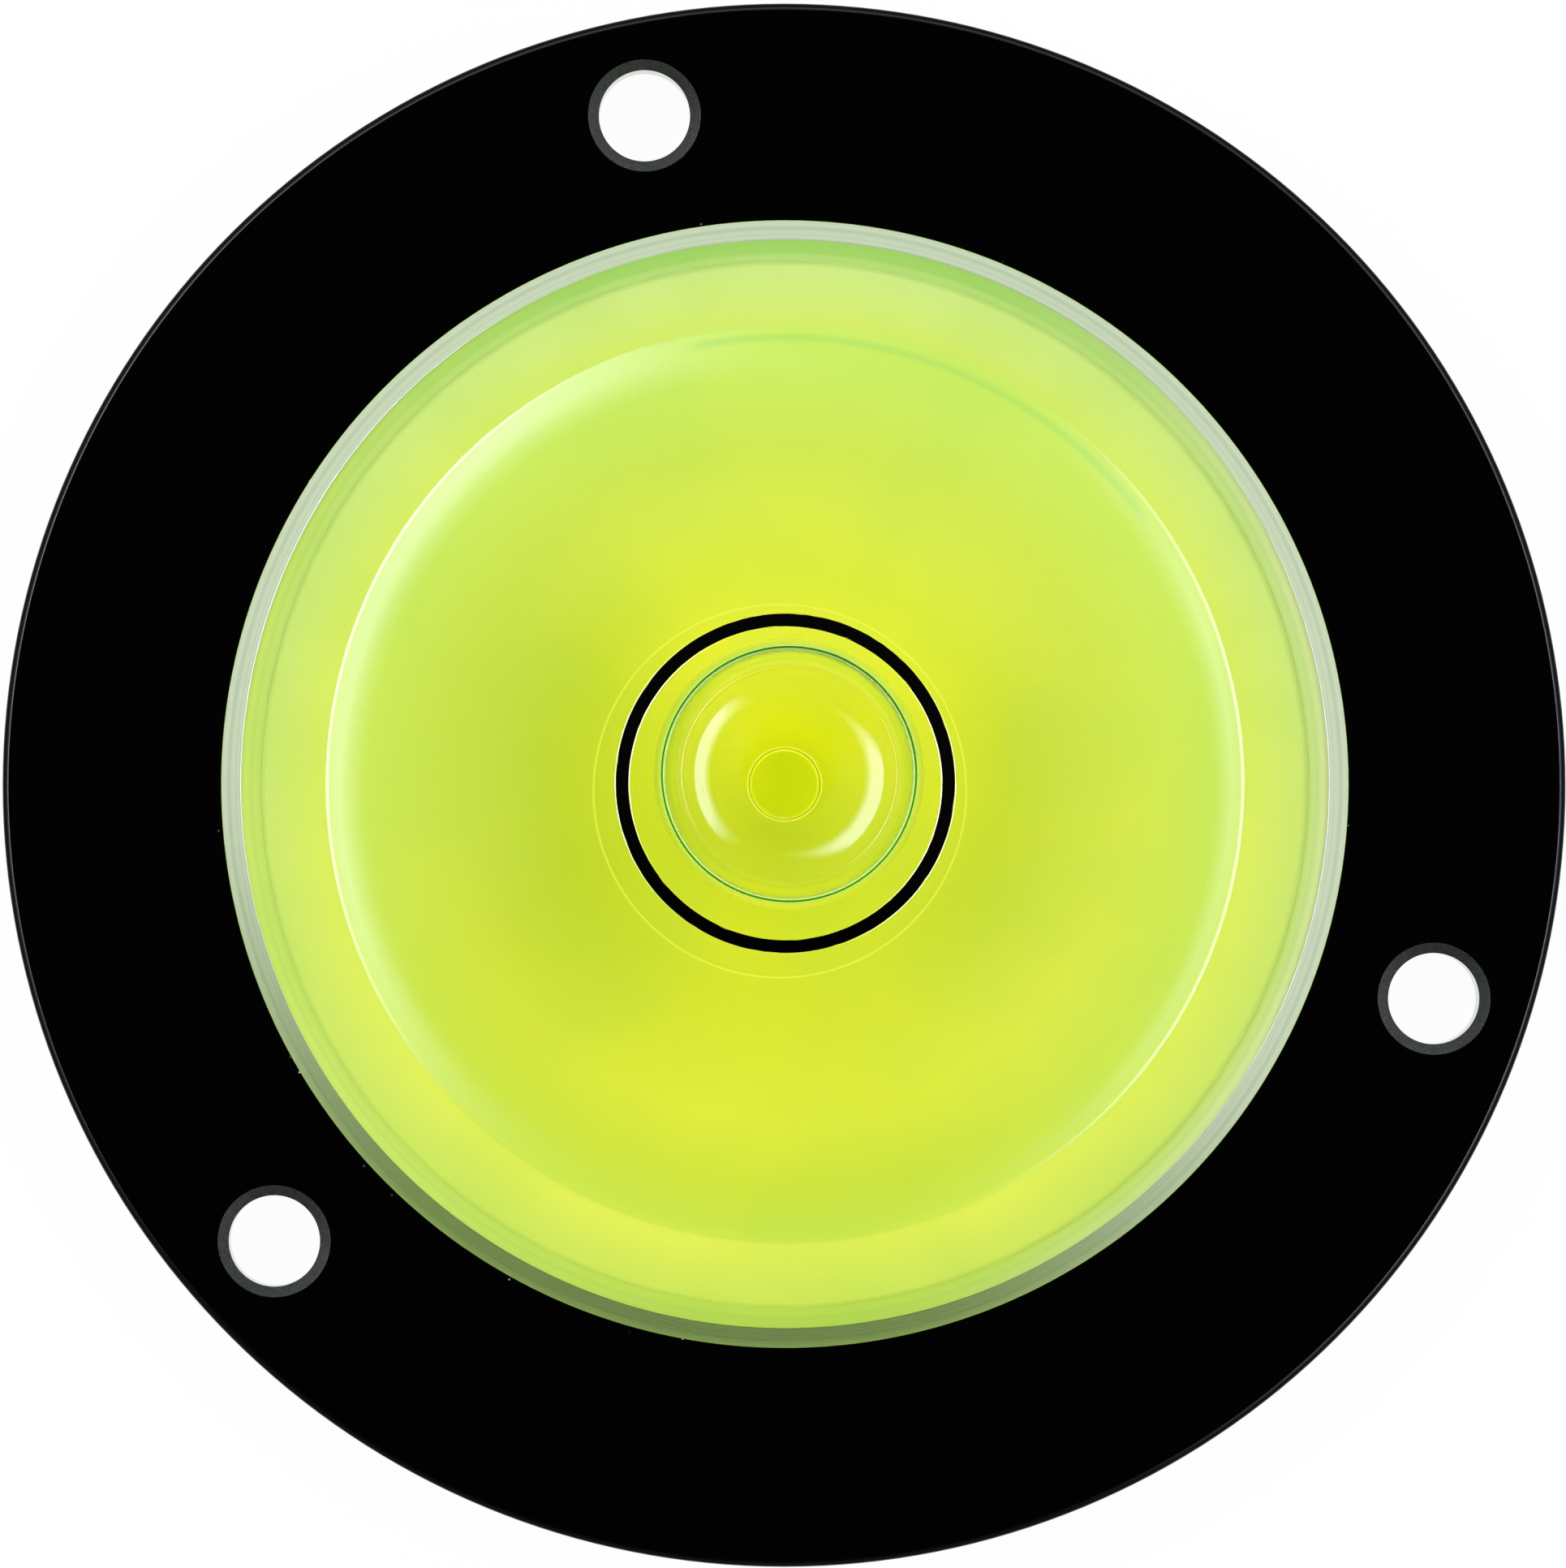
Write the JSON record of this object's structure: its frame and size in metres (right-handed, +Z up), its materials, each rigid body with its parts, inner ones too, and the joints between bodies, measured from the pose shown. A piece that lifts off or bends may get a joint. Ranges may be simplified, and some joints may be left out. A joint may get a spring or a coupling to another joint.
{
  "type": "bullseye level",
  "caption": "Round bullseye level: a black disc flange with screw holes carries a clear domed vial of yellow-green liquid, with an air bubble and a black centring ring.",
  "frame": {"origin": "centre of the flange's underside, where the level rests", "axes": "+Z up along the axis of the disc and the vial; +Y towards the side of the flange with one screw hole near its top, as seen from above"},
  "size_m": [0.06, 0.06, 0.0117],
  "materials": {
    "anodised_aluminium": "turned and black anodised, satin",
    "clear_acrylic": "turned and polished, with a finely turned matt edge chamfer",
    "ring_paint": "black enamel filled into a turned groove",
    "white_acrylic": "opaque white, smooth",
    "plug_acrylic": "opaque white, smooth",
    "dyed_liquid": "clear yellow-green liquid"
  },
  "bodies": {
    "root": {"mounting_flange": "anodised_aluminium", "vial_cap": "clear_acrylic", "bullseye_ring": "ring_paint", "vial_base": "white_acrylic", "filler_plug": "plug_acrylic", "level_liquid": "dyed_liquid"}
  },
  "joints": []
}
